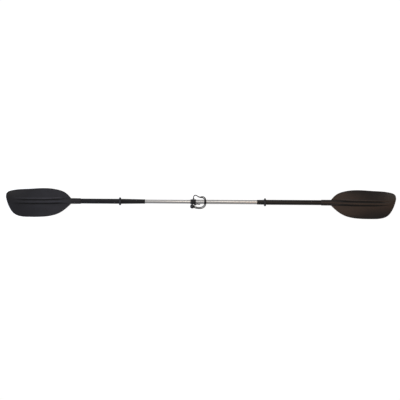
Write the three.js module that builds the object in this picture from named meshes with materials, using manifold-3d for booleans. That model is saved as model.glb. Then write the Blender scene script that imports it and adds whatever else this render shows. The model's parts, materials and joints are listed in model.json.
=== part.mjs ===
// A two-piece kayak paddle, lying flat with its power faces up.
// Every sub-assembly is built round the shaft's own axis, which is the local X axis,
// and the whole paddle is then lifted so that its lowest point is at z = 0.
// Units are millimetres.
import * as THREE from "three";
import { mergeVertices } from "three/addons/utils/BufferGeometryUtils.js";
import Module from "manifold-3d";

const wasm = await Module();
wasm.setup();

// ---- Driving dimensions -------------------------------------------------------------

const GAP = 0.3; // between neighbours that touch
const FIT = 0.1; // round a piece that sits or slides in another
const ROUND = 32; // sides of a round piece
const RING_SIDES = 40;
const FINE_SIDES = 16; // sides of a bolt, pin or rivet

// Places along the shaft, measured from the paddle's middle
const HALF_LENGTH = 1150;
const BLADE_LENGTH = 384;
const SOCKET_LENGTH = 57;
const SOCKET_START = HALF_LENGTH - BLADE_LENGTH - SOCKET_LENGTH;
const GRIP_END = 330;
const LEFT_RING_AT = -477;
const RIGHT_RING_AT = 377;

// Tubes
const LEFT_TUBE_R = 11.45;
const RIGHT_TUBE_R = 12.7;
const TUBE_WALL = 1;
const TUBE_IN_SOCKET = 50; // how far a tube goes into its blade's socket
const TELESCOPED = 150; // how far the left tube goes into the right one, from the collar's mouth

// Grip sleeves
const SLEEVE_R = 14.8;
const LEFT_SLEEVE = { end: 13, taper: 140 };
const RIGHT_SLEEVE = { end: 13.7, taper: 60 };
const SLEEVE_BEVEL = { long: 1, high: 0.4 }; // at the thin end

// Drip rings
const RING = { r: 23, bore: 15.05, width: 11, hub: 2.3, rim: 2, draft: 0.8, web: 3 };
const RING_BEVEL = { back: 1.2, front: 0.8 };

// Clamp at the telescoping joint
const COLLAR = { from: -55, to: -30, r: 15.2, bore: 12.8, bevel: 1 };
const BUSHING_LENGTH = 7;
const INDEX_RING = { from: -62, to: -55.3, r: 15, bevel: 1.6 };
const EAR = { from: -41.3, to: -31, reach: 21.6, top: 5.5, slit: 2 };
const BOLT = { x: -36, y: -18, r: 1.4, bore: 1.5 };
const WASHER = { r: 3.2, thick: 1 };
const CAM = { r: 3.2, offset: 0.4, width: 6.4, slot: 3.4 };
const LEVER = { thick: 3.2, tipX: -6.8, tipY: -15.7, tipR: 2.3 };
const PIN_R = 1.9;
const NUT = { r: 3.6, height: 4 };

// Eye for the bungee
const EYE = { x: -44, width: 9, reach: 21.5, height: 13.5, bore: 3.4 };

// Bungee
const CORD_R = 2.75;
const CORD_SIDES = 10;
const CORD_STEPS = 30;
const BALL = { x: -52, y: -27.5, r: 12.5 };

// Blade
const SOCKET_R = 17;
const BLADE_SIDES = 28;
const BLADE_STATIONS = 34;
const STATION_CROWDING = 1.25; // over 1, the sections lie closer together towards the tip
const PLATE_HALF = 1.9; // half the thickness of the blade's plate
const SPINE = { y: -5, tipHalf: 9, spread: 4, rise: 1.8 }; // off the axis, half widths, height
const SPINE_DROP = 8; // how far the spine dips under the shaft's axis
const EDGE_DROP = 14.9; // how far the edges fall below the spine
const RIVET = { x: 735, r: 2, head: 4, headThick: 1.6, reach: 2, bore: 2.1 };
const FOAM = { from: 640, to: 700 };
const END_PLUG = { flange: 2.5, bevel: 1.5, inside: 14, lead: 2, leadHigh: 1 };

// The floor is this far under the shaft's axis: the paddle rests on a flat of each drip ring.
const FLOOR = RING.r * Math.cos(Math.PI / RING_SIDES);

// Half outlines of a blade as [distance from the tip, distance from the shaft's axis].
const LONG_EDGE = [
  [0, 31], [3, 43.5], [14, 54.5], [60, 65.7], [140, 71.2], [215, 75.2], [265, 73.4],
  [305, 66.8], [335, 57.5], [360, 42.5], [384, 17],
];
const SHORT_EDGE = [
  [0, 19], [3.5, 4], [15, -30], [38, -68], [61, -84.5], [95, -93.5], [150, -95.5],
  [207, -94.3], [253, -89.8], [296, -79], [330, -62.3], [357, -42], [384, -17],
];

// The bungee's two legs, from the eye to the ball: [x, y, height over the floor].
const LEG_A = [
  [-44, 21.8, 26.2], [-43.9, 27, 26.1], [-42.5, 32.4, 24.8], [-38.2, 37.1, 22.2],
  [-31.5, 38.7, 18.7], [-24.6, 36.1, 15.4], [-18, 31.8, 12.6], [-11, 28.8, 10.6],
  [-3.5, 28.2, 9.8], [5.5, 30.2, 10.6], [14.3, 29.6, 13.6], [21.5, 25.5, 19.2],
  [26, 19, 27.5], [28, 10.5, 35.8], [28.4, 0, 39.2], [28, -10.5, 35.8], [26.6, -18.5, 27.5],
  [23.6, -25, 17], [18.5, -31, 8.6], [11, -36, 4], [2, -38.8, 3], [-9, -39.8, 3],
  [-20, -39.4, 3], [-31, -37, 4.4], [-40.8, -33.5, 7.9],
];
const LEG_B = [
  [-44, 21.8, 19.2], [-43.9, 27, 18.9], [-42.5, 32.4, 17.4], [-38.2, 37.1, 14.6],
  [-31.5, 38.7, 11], [-24.6, 36.1, 7.7], [-18, 31.8, 5.1], [-11.5, 28, 3.5], [-4, 26, 3.1],
  [3.5, 25.6, 4.6], [10, 23.8, 8.4], [15.2, 21.4, 14.2], [19, 18.4, 22], [21, 14.5, 30.4],
  [21.8, 8, 37.1], [22, 0, 39.2], [21.8, -8, 37.1], [21, -14.5, 30.4], [19.2, -18.9, 21],
  [15.6, -23.5, 12], [10, -28.2, 5.4], [2, -31.6, 3.2], [-9, -33.2, 3], [-20, -32.8, 3],
  [-30, -30.4, 5], [-38.9, -27.3, 8.6],
];

// ---- Materials ----------------------------------------------------------------------

const finish = (color, roughness, metalness) =>
  new THREE.MeshStandardMaterial({ color, roughness, metalness });

const BLADE_PLASTIC = finish(0x2e2b2d, 0.5, 0);
const BLACK_PLASTIC = finish(0x2b2b2d, 0.45, 0);
const BARE_ALUMINIUM = finish(0xc4c3c1, 0.35, 1);
const SLEEVE_PLASTIC = finish(0x2d2b2c, 0.35, 0);
const RING_RUBBER = finish(0x4d4c51, 0.75, 0);
const STEEL = finish(0x9a9a9c, 0.3, 1);
const FOAM_GREY = finish(0xd8d4cc, 0.95, 0);
const CORD_BLACK = finish(0x252427, 0.9, 0);

// ---- Shape helpers ------------------------------------------------------------------

/** Turns a solid of revolution so that its axis runs along X and its flats face +Z and -Z. */
function alongX(geometry) {
  return geometry.rotateZ(-Math.PI / 2);
}

/** A turned piece on the shaft's axis, from a closed [x, radius] profile. */
function turned(profile, sides = ROUND) {
  const points = profile.map(([x, r]) => new THREE.Vector2(r, x));
  points.push(points[0].clone());
  return alongX(new THREE.LatheGeometry(points, sides, Math.PI / sides));
}

/** A straight tube on the shaft's axis. */
function tube(from, to, outer, inner, sides = ROUND) {
  return turned([[from, inner], [from, outer], [to, outer], [to, inner]], sides);
}

/** A solid rod on the shaft's axis. */
function rod(from, to, r, sides = ROUND) {
  const geometry = new THREE.CylinderGeometry(r, r, to - from, sides, 1, false, Math.PI / sides);
  return alongX(geometry).translate((from + to) / 2, 0, 0);
}

/** A solid rod along Z, from one height to another. */
function upright(x, y, from, to, r, sides = FINE_SIDES) {
  return new THREE.CylinderGeometry(r, r, to - from, sides)
    .rotateX(Math.PI / 2)
    .translate(x, y, (from + to) / 2);
}

/** A solid rod along Y, centred on a point. */
function crosswise(x, y, z, length, r, sides = FINE_SIDES) {
  return new THREE.CylinderGeometry(r, r, length, sides).translate(x, y, z);
}

/** A box from its low corner to its high one. */
function box(low, high) {
  const size = high.map((h, i) => h - low[i]);
  const middle = high.map((h, i) => (h + low[i]) / 2);
  return new THREE.BoxGeometry(...size).translate(...middle);
}

function toSolid(geometry) {
  const bare = geometry.index ? geometry.toNonIndexed() : geometry.clone();
  bare.deleteAttribute("normal");
  bare.deleteAttribute("uv");
  const merged = mergeVertices(bare, 1e-4);
  return new wasm.Manifold(
    new wasm.Mesh({
      numProp: 3,
      vertProperties: merged.attributes.position.array,
      triVerts: new Uint32Array(merged.index.array),
    }),
  );
}

function toGeometry(solid) {
  const mesh = solid.getMesh();
  const geometry = new THREE.BufferGeometry();
  geometry.setAttribute("position", new THREE.BufferAttribute(mesh.vertProperties, 3));
  geometry.setIndex(new THREE.BufferAttribute(mesh.triVerts, 1));
  geometry.computeVertexNormals();
  return geometry;
}

/** One closed body: the first geometry, with some joined to it and some cut from it. */
function shaped(base, joined = [], cut = []) {
  let solid = toSolid(base);
  for (const piece of joined) solid = solid.add(toSolid(piece));
  for (const piece of cut) solid = solid.subtract(toSolid(piece));
  return toGeometry(solid);
}

const paddle = new THREE.Group();

function place(name, geometry, material) {
  const mesh = new THREE.Mesh(geometry, material);
  mesh.name = name;
  paddle.add(mesh);
  return mesh;
}

/** Places a piece that is modelled on the right half as its mirror image on the left one. */
function placeMirrored(name, geometry, material) {
  place(name, geometry, material).scale.x = -1;
}

// ---- Blades -------------------------------------------------------------------------

/** A function that gives an edge's distance from the axis at a distance from the tip. */
function edgeAlong(outline) {
  const curve = new THREE.CatmullRomCurve3(
    outline.map(([t, v]) => new THREE.Vector3(t, v, 0)), false, "centripetal",
  );
  const samples = curve.getPoints(20 * outline.length);
  return (t) => {
    const next = samples.findIndex((p) => p.x >= t);
    if (next < 1) return samples[next ? samples.length - 1 : 0].y;
    const [a, b] = [samples[next - 1], samples[next]];
    return THREE.MathUtils.mapLinear(t, a.x, b.x, a.y, b.y);
  };
}

const longEdge = edgeAlong(LONG_EDGE);
const shortEdge = edgeAlong(SHORT_EDGE);

/**
 * The blade's section at a distance from the tip: the limits of its width, its dip, and the
 * spine that grows out of the blade into the round socket.
 */
function sectionAt(t) {
  const along = Math.min(t / BLADE_LENGTH, 1);
  const neck = THREE.MathUtils.smoothstep(along, 0.55, 1);
  const body = THREE.MathUtils.smoothstep(along, 0.1, 0.5);
  const plate = PLATE_HALF * (1 - neck);
  return {
    low: along < 1 ? shortEdge(t) : -SOCKET_R,
    high: along < 1 ? longEdge(t) : SOCKET_R,
    neck,
    plate,
    dip: 6.75 * along * (1 - along) ** 2, // 0 at both ends, 1 at a third of the blade
    spineY: SPINE.y * (1 - neck),
    spineHalf: THREE.MathUtils.lerp(SPINE.tipHalf + SPINE.spread * body, SOCKET_R, neck),
    spineHeight: THREE.MathUtils.lerp(PLATE_HALF + SPINE.rise * body, SOCKET_R, neck ** 1.5) - plate,
  };
}

/** A point of the blade's skin: a distance from the tip, and an angle round the section. */
function skinPoint(t, angle) {
  const s = sectionAt(t);
  const turn = Math.cos(angle);
  const share = Math.sign(turn) * Math.abs(turn) ** THREE.MathUtils.lerp(1.6, 1, s.neck);
  const y = (s.low + s.high) / 2 + ((s.high - s.low) / 2) * share;
  const plate = s.plate * Math.sqrt(1 - share ** 8);
  const across = Math.min(Math.abs(y - s.spineY) / s.spineHalf, 1);
  const spine = s.spineHeight * Math.sqrt(1 - across ** 2);
  const middle = -s.dip * (SPINE_DROP + EDGE_DROP * Math.abs(share) ** 1.6);
  return new THREE.Vector3(HALF_LENGTH - t, y, middle + Math.sign(Math.sin(angle)) * (plate + spine));
}

/** A right-hand blade with its socket, bored for a tube and for the rivet under it. */
function blade(tubeRadius) {
  const whole = BLADE_LENGTH + SOCKET_LENGTH;
  const skin = new THREE.CylinderGeometry(1, 1, 1, BLADE_SIDES, BLADE_STATIONS);
  const points = skin.attributes.position;
  const step = (2 * Math.PI) / BLADE_SIDES;
  for (let i = 0; i < points.count; i++) {
    const [x, y, z] = [points.getX(i), points.getY(i), points.getZ(i)];
    const t = whole * (0.5 - y) ** STATION_CROWDING;
    const isCapCentre = Math.hypot(x, z) < 0.5;
    const angle = Math.round(Math.atan2(-z, x) / step) * step;
    const p = isCapCentre ? skinPoint(t, Math.PI / 2).setZ(0) : skinPoint(t, angle);
    points.setXYZ(i, p.x, p.y, p.z);
  }
  return shaped(skin, [], [
    rod(SOCKET_START - 1, SOCKET_START + TUBE_IN_SOCKET + GAP, tubeRadius + FIT),
    upright(RIVET.x, 0, -SOCKET_R - 5, 0, RIVET.bore),
  ]);
}

/** A blind rivet up through the socket's underside and the tube's wall. */
function rivet() {
  const under = -SOCKET_R - GAP;
  const head = upright(RIVET.x, 0, under - RIVET.headThick, under, RIVET.head);
  const shank = upright(RIVET.x, 0, under - 1, -LEFT_TUBE_R + TUBE_WALL + RIVET.reach, RIVET.r);
  return shaped(head, [shank]);
}

placeMirrored("left_blade", blade(LEFT_TUBE_R), BLADE_PLASTIC);
place("right_blade", blade(RIGHT_TUBE_R), BLADE_PLASTIC);
placeMirrored("left_blade_rivet", rivet(), STEEL);
place("right_blade_rivet", rivet(), STEEL);

// ---- Tubes and what they hold -------------------------------------------------------

const LEFT_TUBE_END = COLLAR.from + TELESCOPED;
const RIGHT_TUBE_START = COLLAR.from + BUSHING_LENGTH + GAP;
const TUBE_FAR_END = SOCKET_START + TUBE_IN_SOCKET;

function shaftTube(from, to, radius, rivetAt) {
  const hole = upright(rivetAt, 0, -radius - 1, 0, RIVET.bore);
  return shaped(tube(from, to, radius, radius - TUBE_WALL), [], [hole]);
}

place(
  "left_shaft_tube",
  shaftTube(-TUBE_FAR_END, LEFT_TUBE_END, LEFT_TUBE_R, -RIVET.x),
  BARE_ALUMINIUM,
);
place(
  "right_shaft_tube",
  shaftTube(RIGHT_TUBE_START, TUBE_FAR_END, RIGHT_TUBE_R, RIVET.x),
  BARE_ALUMINIUM,
);

const plugRadius = (tubeRadius) => tubeRadius - TUBE_WALL - FIT;
place("left_foam_plug", rod(-FOAM.to, -FOAM.from, plugRadius(LEFT_TUBE_R)), FOAM_GREY);
place("right_foam_plug", rod(FOAM.from, FOAM.to, plugRadius(RIGHT_TUBE_R)), FOAM_GREY);

/** A cap: a flange over the tube's end and a body inside it. */
function tubeEndPlug() {
  const { flange, bevel, inside, lead, leadHigh } = END_PLUG;
  const face = LEFT_TUBE_END + GAP;
  const inner = plugRadius(LEFT_TUBE_R);
  return turned([
    [face - inside, 0], [face - inside, inner - leadHigh], [face - inside + lead, inner],
    [face, inner], [face, LEFT_TUBE_R], [face + flange - bevel, LEFT_TUBE_R],
    [face + flange, LEFT_TUBE_R - bevel], [face + flange, 0],
  ]);
}
place("left_tube_end_plug", tubeEndPlug(), BLACK_PLASTIC);

// ---- Grip sleeves and drip rings ----------------------------------------------------

/** A sleeve on the right half that thins towards its inner end. */
function gripSleeve(tubeRadius, { end, taper }) {
  const inner = tubeRadius + FIT;
  const outerEnd = SOCKET_START - GAP;
  return turned([
    [GRIP_END, inner], [GRIP_END, end - SLEEVE_BEVEL.high], [GRIP_END + SLEEVE_BEVEL.long, end],
    [GRIP_END + taper, SLEEVE_R], [outerEnd, SLEEVE_R], [outerEnd, inner],
  ]);
}
placeMirrored("left_grip_sleeve", gripSleeve(LEFT_TUBE_R, LEFT_SLEEVE), SLEEVE_PLASTIC);
place("right_grip_sleeve", gripSleeve(RIGHT_TUBE_R, RIGHT_SLEEVE), SLEEVE_PLASTIC);

/** A drip cup: a hub on the sleeve and a deep rim that opens towards the blade. */
function dripRing(at) {
  const { r, bore } = RING;
  const [back, front] = [at - RING.width / 2, at + RING.width / 2];
  const web = back + RING.web;
  const hub = bore + RING.hub;
  const rim = r - RING.rim;
  return turned([
    [back, bore], [back, r - RING_BEVEL.back], [back + RING_BEVEL.back, r],
    [front - RING_BEVEL.front, r], [front, r - RING_BEVEL.front], [front, rim],
    [web, rim - RING.draft], [web, hub], [front, hub], [front, bore],
  ], RING_SIDES);
}
placeMirrored("left_drip_ring", dripRing(-LEFT_RING_AT), RING_RUBBER);
place("right_drip_ring", dripRing(RIGHT_RING_AT), RING_RUBBER);

// ---- Clamp at the telescoping joint -------------------------------------------------

/** A split collar with two ears and a bolt hole through them. */
function clampCollar() {
  const { from, to, r, bore, bevel } = COLLAR;
  const shell = turned([
    [from, bore], [from, r - bevel], [from + bevel, r],
    [to - bevel, r], [to, r - bevel], [to, bore],
  ]);
  const wall = (r - bore) / 2;
  const ears = box([EAR.from, -EAR.reach, -EAR.top], [EAR.to, -bore - wall / 2, EAR.top]);
  const slit = box([from - 1, -EAR.reach - 1, -EAR.slit / 2], [to + 1, -bore + wall, EAR.slit / 2]);
  const boltHole = upright(BOLT.x, BOLT.y, -EAR.top - 1, EAR.top + 1, BOLT.bore);
  return shaped(shell, [ears], [slit, boltHole]);
}
place("clamp_collar", clampCollar(), BLACK_PLASTIC);

place(
  "clamp_bushing",
  tube(COLLAR.from, COLLAR.from + BUSHING_LENGTH, COLLAR.bore - FIT, LEFT_TUBE_R + FIT),
  BLACK_PLASTIC,
);

/** A ring in front of the collar, with a bevelled face. */
function indexRing() {
  const { from, to, r, bevel } = INDEX_RING;
  const inner = LEFT_TUBE_R + FIT;
  return turned([[from, inner], [from, r - bevel], [from + bevel, r], [to, r], [to, inner]]);
}
place("feather_index_ring", indexRing(), BLACK_PLASTIC);

const washerTop = EAR.top + GAP + WASHER.thick;
const pivotZ = washerTop + GAP + CAM.r + CAM.offset;
const nutTop = -EAR.top - GAP;

place(
  "cam_washer",
  shaped(
    upright(BOLT.x, BOLT.y, EAR.top + GAP, washerTop, WASHER.r),
    [],
    [upright(BOLT.x, BOLT.y, EAR.top, washerTop + 1, BOLT.bore)],
  ),
  STEEL,
);
place(
  "lever_pin",
  shaped(
    crosswise(BOLT.x, BOLT.y, pivotZ, CAM.width - 0.2, PIN_R),
    [],
    [upright(BOLT.x, BOLT.y, pivotZ - 3, pivotZ + 3, BOLT.bore)],
  ),
  STEEL,
);
place("clamp_bolt", upright(BOLT.x, BOLT.y, nutTop - NUT.height, pivotZ + 1.6, BOLT.r), STEEL);
place(
  "clamp_nut",
  shaped(
    upright(BOLT.x, BOLT.y, nutTop - NUT.height, nutTop, NUT.r, 12),
    [],
    [upright(BOLT.x, BOLT.y, nutTop - NUT.height - 1, nutTop + 1, BOLT.bore)],
  ),
  STEEL,
);

/** The lever's arm from above: it bends in towards the tube, then runs out to a round tip. */
function leverArm() {
  const { tipX, tipY, tipR, thick } = LEVER;
  const [outer, inner] = [BOLT.y - CAM.width / 2, BOLT.y + CAM.width / 2];
  const outline = new THREE.Shape();
  outline.moveTo(BOLT.x + 0.5, outer);
  outline.lineTo(COLLAR.to - 1, outer);
  outline.bezierCurveTo(COLLAR.to + 3, outer, COLLAR.to + 2, -15.6, COLLAR.to + 6, -15.8);
  outline.lineTo(tipX, tipY - tipR);
  outline.absarc(tipX, tipY, tipR, -Math.PI / 2, Math.PI / 2, false);
  outline.lineTo(COLLAR.to + 6, -10);
  outline.bezierCurveTo(COLLAR.to + 2, -9.6, COLLAR.to + 3, inner, COLLAR.to, inner);
  outline.lineTo(BOLT.x + 0.5, inner);
  return new THREE.ExtrudeGeometry(outline, { depth: thick, bevelEnabled: false, curveSegments: 6 })
    .translate(0, 0, pivotZ - thick / 2);
}

/** A cam lever: a forked eccentric head round the pin, and a flat arm. */
function clampLever() {
  const { x, y } = BOLT;
  const head = crosswise(x, y, pivotZ - CAM.offset, CAM.width, CAM.r, 20);
  const pinBore = crosswise(x, y, pivotZ, CAM.width + 2, PIN_R + FIT);
  const slot = box(
    [x - CAM.r - 2, y - CAM.slot / 2, pivotZ - CAM.r - 2],
    [x + PIN_R + 0.6, y + CAM.slot / 2, pivotZ + CAM.r + 2],
  );
  return shaped(head, [leverArm()], [pinBore, slot]);
}
place("clamp_lever", clampLever(), BLACK_PLASTIC);

// ---- Bungee -------------------------------------------------------------------------

/** The moulded eye that stands on the collar, bored along the shaft for the cord's loop. */
function lanyardEye() {
  const { x, width, reach, height, bore } = EYE;
  const foot = COLLAR.r + GAP;
  const lug = box([x - width / 2, foot, -height / 2], [x + width / 2, reach, height / 2]);
  return shaped(lug, [], [
    new THREE.BoxGeometry(width + 2, bore, bore).translate(x, (foot + reach) / 2, 0),
  ]);
}
place("lanyard_eye", lanyardEye(), BLACK_PLASTIC);

/** A round cord along a route of [x, y, height over the floor] points. */
function cord(route) {
  const path = new THREE.CatmullRomCurve3(
    route.map(([x, y, up]) => new THREE.Vector3(x, y, up - FLOOR)), false, "centripetal",
  );
  const section = new THREE.Shape(
    new THREE.EllipseCurve(0, 0, CORD_R, CORD_R).getPoints(CORD_SIDES).slice(0, CORD_SIDES),
  );
  return new THREE.ExtrudeGeometry(section, { steps: CORD_STEPS, extrudePath: path });
}
place("bungee_leg_a", cord(LEG_A), CORD_BLACK);
place("bungee_leg_b", cord(LEG_B), CORD_BLACK);
place(
  "bungee_ball",
  new THREE.SphereGeometry(BALL.r, 20, 14).translate(BALL.x, BALL.y, BALL.r - FLOOR),
  BLACK_PLASTIC,
);

// ---- The paddle in its own frame: its middle over the origin, its lowest point at z = 0 ----

const bounds = new THREE.Box3().setFromObject(paddle);
const middle = bounds.getCenter(new THREE.Vector3());
paddle.position.set(-middle.x, -middle.y, -bounds.min.z);

export default paddle;
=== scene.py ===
"""The looks of a kayak paddle that lies flat on a pale floor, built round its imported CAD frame.

Lengths are in metres and places come from the frame. A few outlines and the bungee's route
repeat the design's own control points, which the design gives in millimetres.
"""
import json
import math

import bmesh
import bpy
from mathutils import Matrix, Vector

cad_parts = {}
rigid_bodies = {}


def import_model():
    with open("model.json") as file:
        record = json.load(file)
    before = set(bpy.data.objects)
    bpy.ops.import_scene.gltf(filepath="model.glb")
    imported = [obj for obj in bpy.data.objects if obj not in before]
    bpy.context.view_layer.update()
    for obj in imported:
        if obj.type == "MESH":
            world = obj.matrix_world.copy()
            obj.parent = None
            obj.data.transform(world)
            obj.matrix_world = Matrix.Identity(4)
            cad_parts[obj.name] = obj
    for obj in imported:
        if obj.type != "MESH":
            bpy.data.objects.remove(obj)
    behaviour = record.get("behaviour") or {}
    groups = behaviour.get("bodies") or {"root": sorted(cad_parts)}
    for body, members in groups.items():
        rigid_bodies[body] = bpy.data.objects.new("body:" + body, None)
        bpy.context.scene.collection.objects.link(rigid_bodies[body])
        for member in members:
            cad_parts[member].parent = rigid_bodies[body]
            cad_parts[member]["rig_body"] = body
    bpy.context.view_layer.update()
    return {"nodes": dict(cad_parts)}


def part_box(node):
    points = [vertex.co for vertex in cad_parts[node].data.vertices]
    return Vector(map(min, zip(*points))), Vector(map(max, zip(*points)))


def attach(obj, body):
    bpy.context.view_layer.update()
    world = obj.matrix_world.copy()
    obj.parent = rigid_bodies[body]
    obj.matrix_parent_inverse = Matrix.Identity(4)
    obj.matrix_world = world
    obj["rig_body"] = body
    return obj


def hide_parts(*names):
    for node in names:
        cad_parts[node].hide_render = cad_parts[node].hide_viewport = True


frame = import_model()

MM = 0.001

# ---- Places that everything hangs from ----------------------------------------------

TUBE_LOW, TUBE_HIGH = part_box("right_shaft_tube")
AXIS_Y = (TUBE_LOW.y + TUBE_HIGH.y) / 2
AXIS_Z = (TUBE_LOW.z + TUBE_HIGH.z) / 2
TIP_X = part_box("right_blade")[1].x

ROUND = 96  # sides of a turned piece
SMALL_ROUND = 48  # and of a small one
ON_AXIS = 1e-6  # the radius of a profile's point on the axis
FIT = 0.1 * MM  # between a tube and what sits on it


# ---- Camera -------------------------------------------------------------------------

def add_camera():
    """Straight above the paddle's middle, far away, with the paddle filling the frame's width."""
    height = 12.0
    frame_width = 2.3584
    aside = Vector((-0.0059, 0.0109))
    roll = math.radians(0.38)
    data = bpy.data.cameras.new("camera")
    data.sensor_width = 36
    data.lens = data.sensor_width * height / frame_width
    data.clip_end = 60
    camera = bpy.data.objects.new("camera", data)
    camera.location = (aside.x, AXIS_Y + aside.y, AXIS_Z + height)
    camera.rotation_euler = (0, 0, roll)
    bpy.context.scene.collection.objects.link(camera)
    bpy.context.scene.camera = camera


add_camera()


# ---- Materials ----------------------------------------------------------------------

class Surface:
    """A Principled material and the nodes that feed it, all in the object's own coordinates."""

    def __init__(self, name, roughness, metallic=0.0, specular=0.5, coat=0.0):
        self.material = bpy.data.materials.new(name)
        self.material.use_nodes = True
        self.tree = self.material.node_tree
        self.shader = self.tree.nodes["Principled BSDF"]
        self.shader.inputs["Roughness"].default_value = roughness
        self.shader.inputs["Metallic"].default_value = metallic
        self.shader.inputs["Specular IOR Level"].default_value = specular
        self.shader.inputs["Coat Weight"].default_value = coat
        self.bumps = None

    def link(self, source, target):
        self.tree.links.new(source, target)

    def node(self, kind, **inputs):
        made = self.tree.nodes.new(kind)
        for name, value in inputs.items():
            socket = made.inputs[name.replace("_", " ")]
            if isinstance(value, bpy.types.NodeSocket):
                self.link(value, socket)
            else:
                socket.default_value = value
        return made

    def place(self, stretch=(1, 1, 1), output="Object"):
        """Coordinates, stretched so that a pattern runs along an axis."""
        coords = self.node("ShaderNodeTexCoord")
        mapping = self.node("ShaderNodeMapping", Vector=coords.outputs[output], Scale=stretch)
        return mapping.outputs["Vector"]

    def noise(self, size, detail=3.0, stretch=(1, 1, 1), roughness=0.5):
        """Noise whose features are about size metres across, as a socket from 0 to 1."""
        made = self.node(
            "ShaderNodeTexNoise", Vector=self.place(stretch), Scale=1 / size, Detail=detail,
            Roughness=roughness,
        )
        return made.outputs["Fac"]

    def ramp(self, source, stops):
        """A socket that follows stops of (position, value or colour)."""
        made = self.node("ShaderNodeValToRGB", Fac=source)
        elements = made.color_ramp.elements
        while len(elements) < len(stops):
            elements.new(0.5)
        for element, (position, value) in zip(elements, stops):
            element.position = position
            colour = value if isinstance(value, tuple) else (value, value, value)
            element.color = (*colour, 1)
        return made.outputs["Color"]

    def math(self, operation, a, b=0.0):
        made = self.tree.nodes.new("ShaderNodeMath")
        made.operation = operation
        for socket, value in zip(made.inputs, (a, b)):
            if isinstance(value, bpy.types.NodeSocket):
                self.link(value, socket)
            else:
                socket.default_value = value
        return made.outputs["Value"]

    def mix(self, share, a, b):
        """Colour a where share is 0 and colour b where it is 1."""
        made = self.tree.nodes.new("ShaderNodeMix")
        made.data_type = "RGBA"
        factor_and_colours = (made.inputs[0], made.inputs[6], made.inputs[7])
        for socket, value in zip(factor_and_colours, (share, a, b)):
            if isinstance(value, bpy.types.NodeSocket):
                self.link(value, socket)
            else:
                socket.default_value = value if isinstance(value, float) else (*value, 1)
        return made.outputs[2]

    def multiply(self, colour, factor):
        """A colour socket times a number socket."""
        made = self.tree.nodes.new("ShaderNodeVectorMath")
        made.operation = "SCALE"
        self.link(colour, made.inputs[0])
        self.link(factor, made.inputs["Scale"])
        return made.outputs["Vector"]

    def bump(self, height, depth, strength=1.0):
        """Adds relief of about depth metres to what the material has already."""
        made = self.node("ShaderNodeBump", Height=height, Strength=strength, Distance=depth)
        if self.bumps is not None:
            self.link(self.bumps, made.inputs["Normal"])
        self.bumps = made.outputs["Normal"]
        self.link(self.bumps, self.shader.inputs["Normal"])

    def colour(self, source):
        self.link(source, self.shader.inputs["Base Color"])

    def rough(self, source):
        self.link(source, self.shader.inputs["Roughness"])


def scaled(colour, factor):
    return tuple(c * factor for c in colour)


def blade_plastic():
    """Glass-filled moulded plastic: flow marks along the blade, fine grain and handling scuffs."""
    base = (0.0215, 0.0195, 0.0195)
    s = Surface("blade_plastic", roughness=0.3, specular=0.3)
    flow = s.noise(0.09, detail=4, stretch=(0.35, 1, 1))
    body = s.mix(s.ramp(flow, [(0.3, 0.0), (0.7, 1.0)]), scaled(base, 0.82), scaled(base, 1.22))
    scuffs = s.noise(0.004, detail=6, stretch=(0.12, 1, 1), roughness=0.7)
    marks = s.ramp(scuffs, [(0.62, 0.0), (0.74, 0.5)])
    # Painted light and shade carried by the skin: painted shade in the grooves, the sunk rim and
    # towards the tip, and painted highlights on the lip, the spine's crest and towards the neck.
    painted_shading = s.node("ShaderNodeAttribute")
    painted_shading.attribute_name = "painted_shading"
    s.colour(s.multiply(s.mix(marks, body, scaled(base, 2.6)), painted_shading.outputs["Fac"]))
    patches = s.noise(0.03, detail=5)
    s.rough(s.ramp(patches, [(0.3, 0.27), (0.7, 0.37)]))
    s.bump(s.noise(0.0009, detail=2), 0.00005, 0.6)
    s.bump(scuffs, 0.00008, 0.35)
    s.bump(s.noise(0.05, detail=1), 0.0006, 0.25)
    return s.material


def drawn_aluminium():
    """Bare drawn tube: fine lines along the shaft, dulled in patches by handling."""
    base = (0.74, 0.735, 0.73)
    s = Surface("drawn_aluminium", roughness=0.34, metallic=1.0)
    lines = s.noise(0.0012, detail=4, stretch=(0.01, 1, 1))
    haze = s.noise(0.06, detail=4, stretch=(0.5, 1, 1))
    body = s.mix(s.ramp(lines, [(0.35, 0.0), (0.65, 1.0)]), scaled(base, 0.93), scaled(base, 1.05))
    s.colour(s.mix(s.ramp(haze, [(0.5, 0.0), (0.8, 0.35)]), body, scaled(base, 0.84)))
    s.rough(s.ramp(haze, [(0.3, 0.28), (0.75, 0.42)]))
    s.bump(lines, 0.00003, 0.5)
    s.bump(s.noise(0.0006, detail=3, stretch=(1, 0.05, 0.05)), 0.00001, 0.3)
    return s.material


def sleeve_plastic():
    """Smooth grip sleeve: faint lengthwise extrusion lines under a slight gloss."""
    base = (0.013, 0.0125, 0.013)
    s = Surface("sleeve_plastic", roughness=0.33, specular=0.25, coat=0.05)
    s.shader.inputs["Coat Roughness"].default_value = 0.25
    lines = s.noise(0.0016, detail=3, stretch=(0.02, 1, 1))
    handled = s.noise(0.035, detail=4)
    body = s.mix(s.ramp(handled, [(0.35, 0.0), (0.7, 1.0)]), scaled(base, 0.85), scaled(base, 1.25))
    s.colour(body)
    s.rough(s.ramp(handled, [(0.3, 0.27), (0.7, 0.42)]))
    s.bump(lines, 0.00006, 0.5)
    s.bump(s.noise(0.0011, detail=2), 0.00004, 0.4)
    return s.material


def ring_rubber():
    """Dull moulded rubber with a fine bloom."""
    base = (0.03, 0.0297, 0.032)
    s = Surface("ring_rubber", roughness=0.78, specular=0.35)
    bloom = s.noise(0.006, detail=5)
    s.colour(s.mix(s.ramp(bloom, [(0.35, 0.0), (0.75, 1.0)]), scaled(base, 0.85), scaled(base, 1.4)))
    s.rough(s.ramp(bloom, [(0.3, 0.7), (0.7, 0.88)]))
    s.bump(s.noise(0.0005, detail=3), 0.00006, 0.7)
    return s.material


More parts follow.
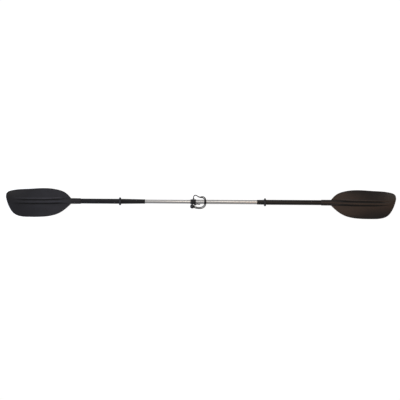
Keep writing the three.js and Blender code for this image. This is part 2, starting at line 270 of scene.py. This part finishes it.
def moulded_nylon():
    """Black glass-filled nylon with a spark-eroded grain."""
    base = (0.016, 0.0155, 0.0165)
    s = Surface("moulded_nylon", roughness=0.5, specular=0.3)
    wear = s.noise(0.008, detail=5)
    s.colour(s.mix(s.ramp(wear, [(0.45, 0.0), (0.75, 1.0)]), base, scaled(base, 1.9)))
    s.rough(s.ramp(wear, [(0.3, 0.44), (0.7, 0.6)]))
    s.bump(s.noise(0.0004, detail=2), 0.00005, 0.8)
    return s.material


def turned_steel():
    """Stainless steel with fine turning lines."""
    base = (0.56, 0.56, 0.57)
    s = Surface("turned_steel", roughness=0.3, metallic=1.0)
    lines = s.noise(0.0003, detail=3, stretch=(0.2, 0.2, 1))
    s.colour(s.mix(s.ramp(lines, [(0.3, 0.0), (0.7, 1.0)]), scaled(base, 0.85), scaled(base, 1.1)))
    s.rough(s.ramp(s.noise(0.003, detail=4), [(0.3, 0.22), (0.7, 0.38)]))
    s.bump(lines, 0.00001, 0.5)
    return s.material


def closed_cell_foam():
    """Pale foam with visible cells."""
    s = Surface("closed_cell_foam", roughness=0.95, specular=0.2)
    cells = s.node("ShaderNodeTexVoronoi", Vector=s.place(), Scale=1 / 0.0012).outputs["Distance"]
    s.colour(s.ramp(cells, [(0.1, (0.42, 0.40, 0.36)), (0.5, (0.70, 0.68, 0.63))]))
    s.bump(cells, 0.0002, 0.8)
    return s.material


def braided_cord():
    """Shock cord's braided cover: two sets of strands that cross round the cord."""
    base = (0.006, 0.0054, 0.0065)
    strands = 8  # of each hand, round the cord
    pitch = 0.011  # along the cord for one turn of a strand
    s = Surface("braided_cord", roughness=0.72, specular=0.2)
    s.shader.inputs["Sheen Weight"].default_value = 0.03
    split = s.node("ShaderNodeSeparateXYZ", Vector=s.place(output="UV"))
    round_it = s.math("MULTIPLY", split.outputs["Y"], 2 * math.pi * strands)
    along = s.math("MULTIPLY", split.outputs["X"], 2 * math.pi * strands / pitch)
    left = s.math("SINE", s.math("ADD", round_it, along))
    right = s.math("SINE", s.math("SUBTRACT", round_it, along))
    weave = s.math("ADD", s.math("MULTIPLY", s.math("MULTIPLY", left, right), 0.5), 0.5)
    fleck = s.noise(0.0011, detail=2)
    body = s.ramp(weave, [(0.15, scaled(base, 0.35)), (0.6, base), (0.95, scaled(base, 1.9))])
    s.colour(s.mix(s.ramp(fleck, [(0.55, 0.0), (0.75, 0.35)]), body, scaled(base, 3.0)))
    s.bump(weave, 0.0003, 0.9)
    return s.material


def ball_plastic():
    """Glossy moulded ball, lightly scratched."""
    base = (0.022, 0.022, 0.024)
    s = Surface("ball_plastic", roughness=0.28, specular=0.5)
    scratches = s.noise(0.0015, detail=6, stretch=(0.2, 1, 0.6), roughness=0.7)
    s.colour(s.mix(s.ramp(scratches, [(0.6, 0.0), (0.75, 0.6)]), base, scaled(base, 2.2)))
    s.rough(s.ramp(s.noise(0.006, detail=4), [(0.3, 0.22), (0.7, 0.36)]))
    s.bump(scratches, 0.00003, 0.5)
    return s.material


BLADE = blade_plastic()
ALUMINIUM = drawn_aluminium()
SLEEVE = sleeve_plastic()
RUBBER = ring_rubber()
NYLON = moulded_nylon()
STEEL = turned_steel()
FOAM = closed_cell_foam()
CORD = braided_cord()
BALL = ball_plastic()


# ---- Curves that shapes are made from -----------------------------------------------

def smoothstep(x, low, high):
    """0 up to low, 1 from high on, and a soft step between them."""
    t = min(max((x - low) / (high - low), 0), 1)
    return t * t * (3 - 2 * t)


def lerp(a, b, share):
    return a + (b - a) * share


def hump(x, centre, half):
    """A soft ridge 1 high at the centre."""
    return math.exp(-(((x - centre) / half) ** 2))


# ---- Mesh helpers -------------------------------------------------------------------

def add_mesh(name, points, faces, material):
    mesh = bpy.data.meshes.new(name)
    mesh.from_pydata(points, [], faces)
    mesh.materials.append(material)
    mesh.polygons.foreach_set("use_smooth", [True] * len(mesh.polygons))
    mesh.update()
    made = bpy.data.objects.new(name, mesh)
    bpy.context.scene.collection.objects.link(made)
    return made


def stand_for(piece, node):
    """The piece is shown in place of a CAD node and moves with that node's body."""
    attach(piece, frame["nodes"][node]["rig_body"])
    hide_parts(node)


def ring_faces(rings, sides, closed):
    """Quads between rings of the same number of points, the last joined to the first if closed."""
    faces = []
    for i in range(rings if closed else rings - 1):
        low, high = i * sides, (i + 1) % rings * sides
        for j in range(sides):
            k = (j + 1) % sides
            faces.append((low + j, low + k, high + k, high + j))
    return faces


def rounded(profile, radius, steps=4):
    """A closed profile with each corner turned into an arc that fits its two sides."""
    out = []
    corners = [Vector(p) for p in profile]
    for i, corner in enumerate(corners):
        before, after = corners[i - 1], corners[(i + 1) % len(corners)]
        into, leave = (before - corner), (after - corner)
        cut = min(radius, into.length * 0.45, leave.length * 0.45)
        start, end = corner + into.normalized() * cut, corner + leave.normalized() * cut
        for k in range(steps + 1):
            t = k / steps
            out.append(start * (1 - t) ** 2 + corner * (2 * t * (1 - t)) + end * t ** 2)
    return out


def turned(name, profile, material, sides=ROUND, centre=None, axis="X", vary=None):
    """
    A solid of revolution from a closed profile of (place along the axis, radius).
    vary, if there is one, gives the radius at a place along the axis and an angle round it.
    """
    centre = centre or Vector((0, AXIS_Y, AXIS_Z))
    points = []
    for along, radius in profile:
        for j in range(sides):
            a = 2 * math.pi * j / sides
            r = vary(along, radius, a) if vary else radius
            u, v = r * math.cos(a), r * math.sin(a)
            offset = {"X": (along, u, v), "Y": (u, along, v), "Z": (u, v, along)}[axis]
            points.append(centre + Vector(offset))
    made = add_mesh(name, points, ring_faces(len(profile), sides, True), material)
    tidy_mesh(made)
    return made


def tidy_mesh(made):
    """Joins doubled points and turns every face outwards."""
    b = bmesh.new()
    b.from_mesh(made.data)
    bmesh.ops.remove_doubles(b, verts=b.verts, dist=1e-7)
    bmesh.ops.dissolve_degenerate(b, edges=b.edges, dist=1e-8)
    bmesh.ops.recalc_face_normals(b, faces=b.faces)
    b.to_mesh(made.data)
    b.free()


def softened(node, material, voxel, passes=6):
    """The node's own shape as a fine skin whose edges are rounded like a moulding's."""
    made = bpy.data.objects.new(node + "_fine", frame["nodes"][node].data.copy())
    bpy.context.scene.collection.objects.link(made)
    made.data.materials.clear()
    made.data.materials.append(material)
    remesh = made.modifiers.new("skin", "REMESH")
    remesh.mode = "VOXEL"
    remesh.voxel_size = voxel
    remesh.use_smooth_shade = True
    smooth = made.modifiers.new("round", "SMOOTH")
    smooth.factor = 0.5
    smooth.iterations = passes
    depsgraph = bpy.context.evaluated_depsgraph_get()
    made.data = bpy.data.meshes.new_from_object(made.evaluated_get(depsgraph))
    made.modifiers.clear()
    stand_for(made, node)


def half_size(node):
    low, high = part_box(node)
    return (high - low) / 2


def middle_of(node):
    low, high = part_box(node)
    return (low + high) / 2


def smooth_route(control, steps):
    """Points along a centripetal spline through the control points."""
    points = [Vector(p) for p in control]
    points = [points[0] * 2 - points[1], *points, points[-1] * 2 - points[-2]]
    out = []
    for a, b, c, d in zip(points, points[1:], points[2:], points[3:]):
        k1 = math.sqrt((b - a).length)
        k2 = k1 + math.sqrt((c - b).length)
        k3 = k2 + math.sqrt((d - c).length)
        for i in range(steps):
            t = k1 + (k2 - k1) * i / steps
            ab = a * ((k1 - t) / k1) + b * (t / k1)
            bc = b * ((k2 - t) / (k2 - k1)) + c * ((t - k1) / (k2 - k1))
            cd = c * ((k3 - t) / (k3 - k2)) + d * ((t - k2) / (k3 - k2))
            abc = ab * ((k2 - t) / k2) + bc * (t / k2)
            bcd = bc * ((k3 - t) / (k3 - k1)) + cd * ((t - k1) / (k3 - k1))
            out.append(abc * ((k2 - t) / (k2 - k1)) + bcd * ((t - k1) / (k2 - k1)))
    out.append(points[-2])
    return out


# ---- Bungee -------------------------------------------------------------------------

CORD_RADIUS = 2.75 * MM

# The design's route, as [along the shaft, across from its axis, height over the floor], in mm.
LEG_A = [
    (-44, 21.8, 26.2), (-43.9, 27, 26.1), (-42.5, 32.4, 24.8), (-38.2, 37.1, 22.2),
    (-31.5, 38.7, 18.7), (-24.6, 36.1, 15.4), (-18, 31.8, 12.6), (-11, 28.8, 10.6),
    (-3.5, 28.2, 9.8), (5.5, 30.2, 10.6), (14.3, 29.6, 13.6), (21.5, 25.5, 19.2),
    (26, 19, 27.5), (28, 10.5, 35.8), (28.4, 0, 39.2), (28, -10.5, 35.8), (26.6, -18.5, 27.5),
    (23.6, -25, 17), (18.5, -31, 8.6), (11, -36, 4), (2, -38.8, 3), (-9, -39.8, 3),
    (-20, -39.4, 3), (-31, -37, 4.4), (-40.8, -33.5, 7.9),
]
LEG_B = [
    (-44, 21.8, 19.2), (-43.9, 27, 18.9), (-42.5, 32.4, 17.4), (-38.2, 37.1, 14.6),
    (-31.5, 38.7, 11), (-24.6, 36.1, 7.7), (-18, 31.8, 5.1), (-11.5, 28, 3.5), (-4, 26, 3.1),
    (3.5, 25.6, 4.6), (10, 23.8, 8.4), (15.2, 21.4, 14.2), (19, 18.4, 22), (21, 14.5, 30.4),
    (21.8, 8, 37.1), (22, 0, 39.2), (21.8, -8, 37.1), (21, -14.5, 30.4), (19.2, -18.9, 21),
    (15.6, -23.5, 12), (10, -28.2, 5.4), (2, -31.6, 3.2), (-9, -33.2, 3), (-20, -32.8, 3),
    (-30, -30.4, 5), (-38.9, -27.3, 8.6),
]


def round_cord(name, route, material):
    """A tube of the cord's radius along a route, with the distance along it as its UV."""
    sides = 24
    shaft = Vector((0, AXIS_Y, 0))
    centres = smooth_route([Vector(point) * MM + shaft for point in route], 6)
    points, lengths = [], [0.0]
    side = Vector((0, 0, 1))
    for i, centre in enumerate(centres):
        ahead = (centres[min(i + 1, len(centres) - 1)] - centres[max(i - 1, 0)]).normalized()
        side = (side - ahead * side.dot(ahead)).normalized()
        up = ahead.cross(side)
        for j in range(sides):
            a = 2 * math.pi * j / sides
            points.append(centre + (side * math.cos(a) + up * math.sin(a)) * CORD_RADIUS)
        if i:
            lengths.append(lengths[-1] + (centre - centres[i - 1]).length)
    faces = ring_faces(len(centres), sides, False)
    rings = len(centres)
    faces += [tuple(range(sides))[::-1], tuple(range((rings - 1) * sides, rings * sides))]
    made = add_mesh(name, points, faces, material)
    uv = made.data.uv_layers.new(name="UVMap").data
    for polygon in made.data.polygons:
        for loop, vertex in zip(polygon.loop_indices, polygon.vertices):
            across = vertex % sides / sides
            if len(polygon.vertices) == 4 and across == 0 and polygon.index % sides == sides - 1:
                across = 1.0
            uv[loop].uv = (lengths[vertex // sides], across)
    return made, centres, lengths[-1]


def add_bungee_ball():
    """A ball with a moulding seam and a dimple where the cord's legs go in."""
    steps, sides = 64, 64
    seam_height, seam_half_turn = 0.16 * MM, 0.03
    dimple_depth, dimple_half_turn = 1.6 * MM, 0.2
    cord_side = math.radians(-20)
    radius = half_size("bungee_ball").z - 0.17 * MM
    profile = []
    for i in range(steps + 1):
        a = math.pi * i / steps
        seam = seam_height * hump(a, math.pi / 2, seam_half_turn)
        dimple = dimple_depth * hump(a, 0, dimple_half_turn)
        r = radius + seam - dimple
        profile.append((r * math.cos(a), max(r * math.sin(a), ON_AXIS)))
    made = turned("ball", profile, BALL, sides=sides, centre=Vector((0, 0, 0)), axis="X")
    made.rotation_euler = (0, 0, cord_side)
    made.location = middle_of("bungee_ball")
    stand_for(made, "bungee_ball")
    return made


def add_ball_mouth(name, centres):
    """The moulded lip round a leg of the cord, where it goes into the ball."""
    end = centres[-1]
    inwards = (end - centres[-4]).normalized()
    front, back = -1.2 * MM, 4 * MM
    bore, rim = CORD_RADIUS + 0.1 * MM, CORD_RADIUS + 1.4 * MM
    profile = rounded([(front, bore), (front, rim), (back, rim), (back, bore)], 0.4 * MM)
    made = turned(name, profile, BALL, sides=SMALL_ROUND, centre=Vector((0, 0, 0)), axis="X")
    made.rotation_euler = inwards.to_track_quat("X", "Z").to_euler()
    made.location = end
    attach(made, "right_half")


def add_bungee():
    ball = add_bungee_ball()
    for name, node, route in (("cord_a", "bungee_leg_a", LEG_A), ("cord_b", "bungee_leg_b", LEG_B)):
        cord, centres, length = round_cord(name, route, CORD)
        stand_for(cord, node)
        add_ball_mouth(name.replace("cord", "ball_mouth"), centres)


add_bungee()


# ---- Blades -------------------------------------------------------------------------

BLADE_LENGTH = 384 * MM
SOCKET_LENGTH = 57 * MM
SOCKET_RADIUS = 17 * MM
PLATE_HALF = 1.9 * MM
PLATE_LEAST = 0.02 * MM  # keeps the two faces apart where the plate runs out at the socket
SPINE_DROP = 8 * MM  # how far the scoop takes the spine below the shaft's axis
EDGE_DROP = 14.9 * MM  # and how much further the edges
DIP_PEAK = 6.75  # makes the scoop's curve, along * (1 - along) ** 2, peak at 1
SPINE_Y = -5 * MM  # from the shaft's axis
SPINE_TIP_HALF = 9 * MM
SPINE_SPREAD = 4 * MM  # how much wider the spine is at its full width
SPINE_RISE = 1.8 * MM
NECK_FROM = 0.55  # the share of the length, from the tip, where the neck begins

# The design's half outlines, as [distance from the tip, distance from the shaft's axis], in mm.
LONG_EDGE = [
    (0, 31), (3, 43.5), (14, 54.5), (60, 65.7), (140, 71.2), (215, 75.2), (265, 73.4),
    (305, 66.8), (335, 57.5), (360, 42.5), (384, 17),
]
SHORT_EDGE = [
    (0, 19), (3.5, 4), (15, -30), (38, -68), (61, -84.5), (95, -93.5), (150, -95.5),
    (207, -94.3), (253, -89.8), (296, -79), (330, -62.3), (357, -42), (384, -17),
]


def edge_along(outline):
    """A function that gives an edge's distance from the axis at a distance from the tip."""
    samples = smooth_route([(t * MM, v * MM, 0) for t, v in outline], 24)

    def at(t):
        for a, b in zip(samples, samples[1:]):
            if b.x >= t:
                share = (t - a.x) / max(b.x - a.x, 1e-9)
                return a.y + (b.y - a.y) * share
        return samples[-1].y

    return at


long_edge = edge_along(LONG_EDGE)
short_edge = edge_along(SHORT_EDGE)


GROOVE_AT, GROOVE_HALF, GROOVE_DEPTH = 11.7 * MM, 4 * MM, 2 * MM  # at, from the spine's middle
LIP_AT, LIP_HALF, LIP_HEIGHT = 19.5 * MM, 3.6 * MM, 0.8 * MM
CREST_HALF = 5 * MM
RIM_FROM, RIM_TO, RIM_DEPTH = 1.5 * MM, 4 * MM, 0.35 * MM  # measured inwards from the edge


def power_face_relief(y, spine_y, along, edge_gap):
    """
    The power face's moulded relief: two grooves beside the spine, a lip along the upper one and a sunk
    rim. Gives the height it adds, and a factor of painted light and shade: painted shade in the
    grooves, the sunk rim and towards the tip, and a painted highlight on the lip, the spine's crest
    and towards the neck.
    """
    fade = smoothstep(along, 0.05, 0.3) * (1 - smoothstep(along, 0.78, 0.9))
    off = y - spine_y
    grooves = hump(off, GROOVE_AT, GROOVE_HALF) + hump(off, -GROOVE_AT, GROOVE_HALF)
    lip = hump(off, LIP_AT, LIP_HALF)
    crest = hump(off, 0, CREST_HALF)
    rim = (1 - smoothstep(edge_gap, RIM_FROM, RIM_TO)) * (1 - smoothstep(along, 0.9, 0.97))
    height = fade * (LIP_HEIGHT * lip - GROOVE_DEPTH * grooves) - RIM_DEPTH * rim
    # Painted shade in the grooves and the sunk rim, and a painted highlight on the lip and the spine's
    # crest.
    painted_light_factor = 1 + fade * (1.1 * lip + 0.25 * crest - grooves) - 0.3 * rim
    # Painted shade towards the tip and painted light towards the neck.
    tip_painted_shade, neck_painted_light, least_painted_shading = 0.6, 1.3, 0.1
    return height, max(painted_light_factor * lerp(tip_painted_shade, neck_painted_light, along), least_painted_shading)


FLANK = math.radians(60)  # of each half turn round the skin, on either side of the spine
FOOT_LIMIT = 0.98  # how near the edge a foot of the spine may come, of half the width
LOW_FOOT_LIMIT = 0.9  # leaves room for the spine at the tip, which lies beside it
FEET_APART = 0.04


def across_share(angle, low_foot, high_foot):
    """
    Where a point of the skin lies across the blade, from -1 at the short edge to 1 at the long
    one. The feet are the spine's, so the same points of each ring follow its two creases.
    """
    turn = math.acos(math.cos(angle))
    if FLANK <= turn <= math.pi - FLANK:
        spine_turn = (turn - FLANK) / (math.pi - 2 * FLANK) * math.pi
        return (high_foot + low_foot) / 2 + (high_foot - low_foot) / 2 * math.cos(spine_turn)
    outwards = 1 - min(turn, math.pi - turn) / FLANK
    outwards = (outwards + math.sin(outwards * math.pi / 2)) / 2
    return lerp(high_foot, 1, outwards) if turn < FLANK else lerp(low_foot, -1, outwards)


def blade_point(t, angle):
    """
    A point of the blade's skin, as (distance from the tip, across, height over the axis), and its
    factor of painted light and shade, which is 1 where none is painted.
    and its tone, which is 1 where the plastic is plain.
    """
    along = min(t / BLADE_LENGTH, 1)
    neck = smoothstep(along, NECK_FROM, 1)
    body = smoothstep(along, 0.1, 0.5)
    low = short_edge(t) if along < 1 else -SOCKET_RADIUS
    high = long_edge(t) if along < 1 else SOCKET_RADIUS
    dip = DIP_PEAK * along * (1 - along) ** 2
    spine_y = SPINE_Y * (1 - neck)
    spine_half = lerp(SPINE_TIP_HALF + SPINE_SPREAD * body, SOCKET_RADIUS, neck)
    flat_half = max(PLATE_HALF * (1 - neck), PLATE_LEAST)
    spine_height = lerp(PLATE_HALF + SPINE_RISE * body, SOCKET_RADIUS, neck ** 1.5) - flat_half
    centre, half_width = (low + high) / 2, (high - low) / 2
    low_foot = (spine_y - spine_half - centre) / half_width
    high_foot = (spine_y + spine_half - centre) / half_width
    low_foot = min(max(low_foot, -FOOT_LIMIT), LOW_FOOT_LIMIT)
    high_foot = min(max(high_foot, low_foot + FEET_APART), FOOT_LIMIT)
    share = across_share(angle, low_foot, high_foot)
    y = centre + half_width * share
    plate = flat_half * math.sqrt(max(1 - share ** 8, 0))
    across = min(abs(y - spine_y) / spine_half, 1)
    half = plate + spine_height * math.sqrt(1 - across ** 2)
    middle = -dip * (SPINE_DROP + EDGE_DROP * abs(share) ** 1.6)
    if math.sin(angle) < 0 or along == 1:
        return (t, y, middle + math.copysign(half, math.sin(angle))), 1.0
    edge_gap = half_width * (1 - abs(share))
    relief, painted_shading = power_face_relief(y, spine_y, along, edge_gap)
    return (t, y, middle + max(half + relief, 0)), painted_shading


def socket_rings(sides, whole, bore):
    """The rings that close the socket: its rounded mouth and the bore up to the tube's end."""
    bevel, bore_depth = 0.8 * MM, 40 * MM
    stops = (
        (whole - bevel, SOCKET_RADIUS), (whole, SOCKET_RADIUS - bevel), (whole, bore),
        (whole - bore_depth, bore),
    )
    turns = []
    for j in range(sides):
        angle = 2 * math.pi * j / sides
        share = across_share(angle, -FOOT_LIMIT, FOOT_LIMIT)
        turns.append(math.copysign(math.acos(share), math.sin(angle)))
    return [
        [((t, radius * math.cos(a), radius * math.sin(a)), 1.0) for a in turns]
        for t, radius in stops
    ]


def add_blade(side, node):
    """The blade's fine skin. side is 1 on the right half and -1 on its mirror image."""
    sides, stations, crowding = 300, 190, 1.25
    low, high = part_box(node)
    whole = BLADE_LENGTH + SOCKET_LENGTH
    bore = half_size("right_shaft_tube" if side > 0 else "left_shaft_tube").z + FIT
    rings = []
    for i in range(stations):
        t = whole * (i / stations) ** crowding
        rings.append([blade_point(t, 2 * math.pi * j / sides) for j in range(sides)])
    rings += socket_rings(sides, whole, bore)
    points, painted_shadings = [], []
    for ring in rings:
        for (t, y, z), painted_shading in ring:
            place = Vector((side * (TIP_X - t), AXIS_Y + y, AXIS_Z + z))
            points.append([min(max(v, a), b) for v, a, b in zip(place, low, high)])
            painted_shadings.append(painted_shading)
    faces = ring_faces(len(rings), sides, False)
    faces.append(tuple(range(sides)))
    faces.append(tuple(range(len(points) - sides, len(points))))
    made = add_mesh(node + "_skin", points, faces, BLADE)
    # The painted light and shade goes to the blade's material as a point attribute.
    made.data.attributes.new("painted_shading", "FLOAT", "POINT").data.foreach_set("value", painted_shadings)
    tidy_mesh(made)
    stand_for(made, node)


for side, node in ((-1, "left_blade"), (1, "right_blade")):
    add_blade(side, node)


# ---- Tubes, sleeves and drip rings --------------------------------------------------

TUBE_WALL = 1 * MM


def add_tube(node):
    """A drawn tube with its cut ends deburred."""
    low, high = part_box(node)
    outer = half_size(node).z
    inner = outer - TUBE_WALL
    corners = [(low.x, inner), (low.x, outer), (high.x, outer), (high.x, inner)]
    made = turned(node + "_fine", rounded(corners, 0.2 * MM), ALUMINIUM)
    stand_for(made, node)


def add_sleeve(side, node, tube_node, end_radius, taper):
    """A grip sleeve: full size at the blade's socket, thinner towards the paddle's middle."""
    steps, softness = 6, 0.4  # of the taper, and how far it is from straight
    low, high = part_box(node)
    outer = half_size(node).z
    inner = half_size(tube_node).z + FIT
    start, end = (low.x, high.x) if side > 0 else (-high.x, -low.x)
    profile = [(start, inner), (start, end_radius)]
    for k in range(1, steps + 1):
        share = lerp(k / steps, smoothstep(k / steps, 0, 1), softness)
        profile.append((start + taper * k / steps, lerp(end_radius, outer, share)))
    profile += [(end, outer), (end, inner)]
    profile = [(side * x, r) for x, r in rounded(profile, 0.7 * MM)]
    made = turned(node + "_fine", profile, SLEEVE)
    stand_for(made, node)


def add_drip_ring(side, node, sleeve_node):
    """A drip cup that opens towards the blade, with soft edges and a thin lip on its hub."""
    low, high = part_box(node)
    outer = half_size(node).z
    bore = half_size(sleeve_node).z + 0.2 * MM
    start, end = (low.x, high.x) if side > 0 else (-high.x, -low.x)
    back_edge, front_edge, draft = 1.2 * MM, 0.8 * MM, 0.8 * MM
    hub, rim, floor = bore + 2.3 * MM, outer - 2 * MM, start + 3 * MM
    profile = [
        (start, bore), (start, outer - back_edge), (start + back_edge, outer),
        (end - front_edge, outer), (end, outer - front_edge), (end, rim),
        (floor, rim - draft), (floor, hub), (end, hub), (end, bore),
    ]
    profile = [(side * x, r) for x, r in rounded(profile, 0.9 * MM, 5)]
    made = turned(node + "_fine", profile, RUBBER)
    stand_for(made, node)


add_tube("left_shaft_tube")
add_tube("right_shaft_tube")
add_sleeve(-1, "left_grip_sleeve", "left_shaft_tube", 13 * MM, 140 * MM)
add_sleeve(1, "right_grip_sleeve", "right_shaft_tube", 13.7 * MM, 60 * MM)
add_drip_ring(-1, "left_drip_ring", "left_grip_sleeve")
add_drip_ring(1, "right_drip_ring", "right_grip_sleeve")


# ---- Small pieces of the clamp, the tubes' insides and the rivets ---------------------

def add_round_piece(node, material, profile, axis="X", sides=SMALL_ROUND, vary=None):
    """A turned piece round its own middle, along X on the shaft or along Z elsewhere."""
    centre = None if axis == "X" else Vector((*middle_of(node).xy, 0))
    made = turned(node + "_fine", profile, material, sides, centre, axis, vary)
    stand_for(made, node)


def add_index_ring():
    """A ring with a finger notch for each feather angle round its bevelled front."""
    low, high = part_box("feather_index_ring")
    outer = half_size("feather_index_ring").z
    inner = half_size("left_shaft_tube").z + FIT
    notches, bevel = 12, 1.6 * MM

    def notched(along, radius, angle):
        front = 1 - smoothstep(along, low.x + 2 * MM, low.x + 3 * MM)
        depth = 0.5 * MM if radius > outer - bevel - 0.2 * MM else 0
        return radius - front * depth * max(math.cos(notches * angle), 0) ** 4

    steps = [low.x + bevel + k * 0.35 * MM for k in range(8)]
    profile = [(low.x, inner), (low.x, outer - bevel), *[(x, outer) for x in steps]]
    profile = rounded([*profile, (high.x, outer), (high.x, inner)], 0.3 * MM, 3)
    add_round_piece("feather_index_ring", NYLON, profile, sides=192, vary=notched)


def add_bushing():
    low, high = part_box("clamp_bushing")
    inner = half_size("left_shaft_tube").z + FIT
    outer = half_size("clamp_bushing").z
    corners = [(low.x, inner), (low.x, outer), (high.x, outer), (high.x, inner)]
    add_round_piece("clamp_bushing", NYLON, rounded(corners, 0.3 * MM), sides=ROUND)


def add_end_plug():
    """A cap with a rounded flange and two sealing ribs round its body."""
    low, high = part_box("left_tube_end_plug")
    outer = half_size("left_tube_end_plug").z
    crest = outer - TUBE_WALL - FIT
    stem = crest - 0.3 * MM
    face = high.x - 2.5 * MM
    body = [(low.x, ON_AXIS), (low.x, crest - 1 * MM), (low.x + 2 * MM, stem)]
    for rib in (low.x + 4 * MM, low.x + 8 * MM):
        body += [(rib, stem), (rib + 0.4 * MM, crest), (rib + 1.2 * MM, crest), (rib + 1.6 * MM, stem)]
    body += [(face, stem), (face, outer), (face + 1 * MM, outer)]
    body += [(high.x, outer - 1.5 * MM), (high.x, ON_AXIS)]
    add_round_piece("left_tube_end_plug", NYLON, rounded(body, 0.2 * MM), sides=ROUND)


def add_foam_plug(node):
    """A foam cylinder with a slightly uneven cut surface."""
    low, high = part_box(node)
    outer = half_size(node).z

    def uneven(along, radius, angle):
        wave = math.sin(3 * angle + 900 * along) + math.sin(7 * angle - 1700 * along)
        return radius - (0.12 * MM * (2 + wave) if radius > 2 * MM else 0)

    steps = [(lerp(low.x, high.x, k / 40), outer) for k in range(41)]
    profile = [(low.x, ON_AXIS), *steps, (high.x, ON_AXIS)]
    add_round_piece(node, FOAM, profile, sides=ROUND, vary=uneven)


def add_bolt():
    """A threaded rod: its crests and roots are rings of the profile."""
    low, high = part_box("clamp_bolt")
    crest = half_size("clamp_bolt").x
    root, pitch = crest - 0.16 * MM, 0.5 * MM
    turns = int((high.z - low.z - 1 * MM) / pitch)
    profile = [(low.z, ON_AXIS), (low.z, root)]
    for k in range(turns):
        start = low.z + 0.4 * MM + k * pitch
        profile += [(start, crest), (start + pitch / 2, root)]
    profile += [(high.z, root), (high.z, ON_AXIS)]
    add_round_piece("clamp_bolt", STEEL, profile, axis="Z")


def add_nut():
    """A round nut with a knurl for the fingers."""
    low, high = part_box("clamp_nut")
    outer = half_size("clamp_nut").y * math.cos(math.pi / 12)
    bore, knurls, depth = 1.5 * MM, 18, 0.3 * MM

    def knurled(along, radius, angle):
        if radius < outer - 0.35 * MM:
            return radius
        return radius - depth * (0.5 - 0.5 * math.cos(knurls * angle)) ** 2

    corners = [(low.z, bore), (low.z, outer), (high.z, outer), (high.z, bore)]
    profile = rounded(corners, 0.5 * MM)
    add_round_piece("clamp_nut", STEEL, profile, axis="Z", sides=216, vary=knurled)


def add_rivet(node):
    """A blind rivet: a domed head under the socket and a shank up through the tube's wall."""
    low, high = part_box(node)
    head, shank = half_size(node).x, half_size(node).x / 2
    thick = 1.6 * MM
    dome = [
        (low.z + thick * 0.8 * (1 - math.cos(a)), max(head * math.sin(a), ON_AXIS))
        for a in [math.pi / 2 * k / 10 for k in range(11)]
    ]
    tail = [(high.z - 0.4 * MM, shank), (high.z, shank - 0.4 * MM), (high.z, ON_AXIS)]
    profile = [*dome, (low.z + thick, head), (low.z + thick, shank), *tail]
    add_round_piece(node, STEEL, profile, axis="Z")


add_index_ring()
add_bushing()
add_end_plug()
add_bolt()
add_nut()
for name in ("left", "right"):
    add_foam_plug(name + "_foam_plug")
    add_rivet(name + "_blade_rivet")

softened("clamp_collar", NYLON, 0.4 * MM)
softened("clamp_lever", NYLON, 0.22 * MM)
softened("lanyard_eye", NYLON, 0.25 * MM)
softened("lever_pin", STEEL, 0.14 * MM, passes=3)
softened("cam_washer", STEEL, 0.14 * MM, passes=3)


# ---- Floor and light ----------------------------------------------------------------

WHITE = (1, 1, 1, 1)


def add_floor():
    """
    A pale floor that glows, so that it stays white in the paddle's own shade. Only a part of
    that glow lights the paddle, as the floor of a shaded studio table would.
    """
    reach = 14
    glow, glow_on_paddle = 0.95, 0.35
    corners = [(-reach, -reach, 0), (reach, -reach, 0), (reach, reach, 0), (-reach, reach, 0)]
    made = add_mesh("floor", corners, [(0, 1, 2, 3)], None)
    s = Surface("floor", roughness=0.9, specular=0.1)
    grain = s.noise(0.02, detail=2)
    s.colour(s.ramp(grain, [(0.0, 0.19), (1.0, 0.21)]))
    s.shader.inputs["Emission Color"].default_value = WHITE
    seen = s.tree.nodes.new("ShaderNodeLightPath").outputs["Is Camera Ray"]
    strength = s.math("ADD", s.math("MULTIPLY", seen, glow - glow_on_paddle), glow_on_paddle)
    s.link(strength, s.shader.inputs["Emission Strength"])
    made.data.materials[0] = s.material


def add_soft_box(name, location, target, size, power, colour, spread=180):
    """A rectangular lamp, its longer side along the shaft, with its beam spread in degrees."""
    data = bpy.data.lights.new(name, "AREA")
    data.shape = "RECTANGLE"
    data.size, data.size_y = size
    data.energy = power
    data.color = colour
    data.spread = math.radians(spread)
    light = bpy.data.objects.new(name, data)
    light.location = location
    light.rotation_euler = (Vector(target) - Vector(location)).to_track_quat("-Z", "Y").to_euler()
    bpy.context.scene.collection.objects.link(light)


def add_lights():
    """Soft boxes over the paddle, cool at its left end and warmer and warmer to its right one."""
    pale, cool = (0.95, 0.97, 1.0), (0.62, 0.73, 1.0)
    warm, amber = (1.0, 0.88, 0.72), (1.0, 0.53, 0.28)
    add_soft_box("over_left", (-0.35, 1.1, 1.7), (-0.35, 0, 0), (1.3, 1.2), 3.2, pale)
    add_soft_box("over_right", (0.35, 0.9, 2.0), (0.35, 0, 0), (0.8, 1.6), 6.2, warm)
    add_soft_box("right_end", (1.35, -0.1, 1.8), (1.1, 0, 0), (1.1, 1.8), 7, amber)
    add_soft_box("left_end", (-2.7, -0.1, 1.3), (-0.9, 0, 0), (0.6, 0.8), 7, cool, 60)
    world = bpy.data.worlds.new("studio")
    world.use_nodes = True
    background = world.node_tree.nodes["Background"]
    background.inputs["Color"].default_value = WHITE
    background.inputs["Strength"].default_value = 0.27
    bpy.context.scene.world = world
    bpy.context.scene.view_settings.view_transform = "Standard"


add_floor()
add_lights()
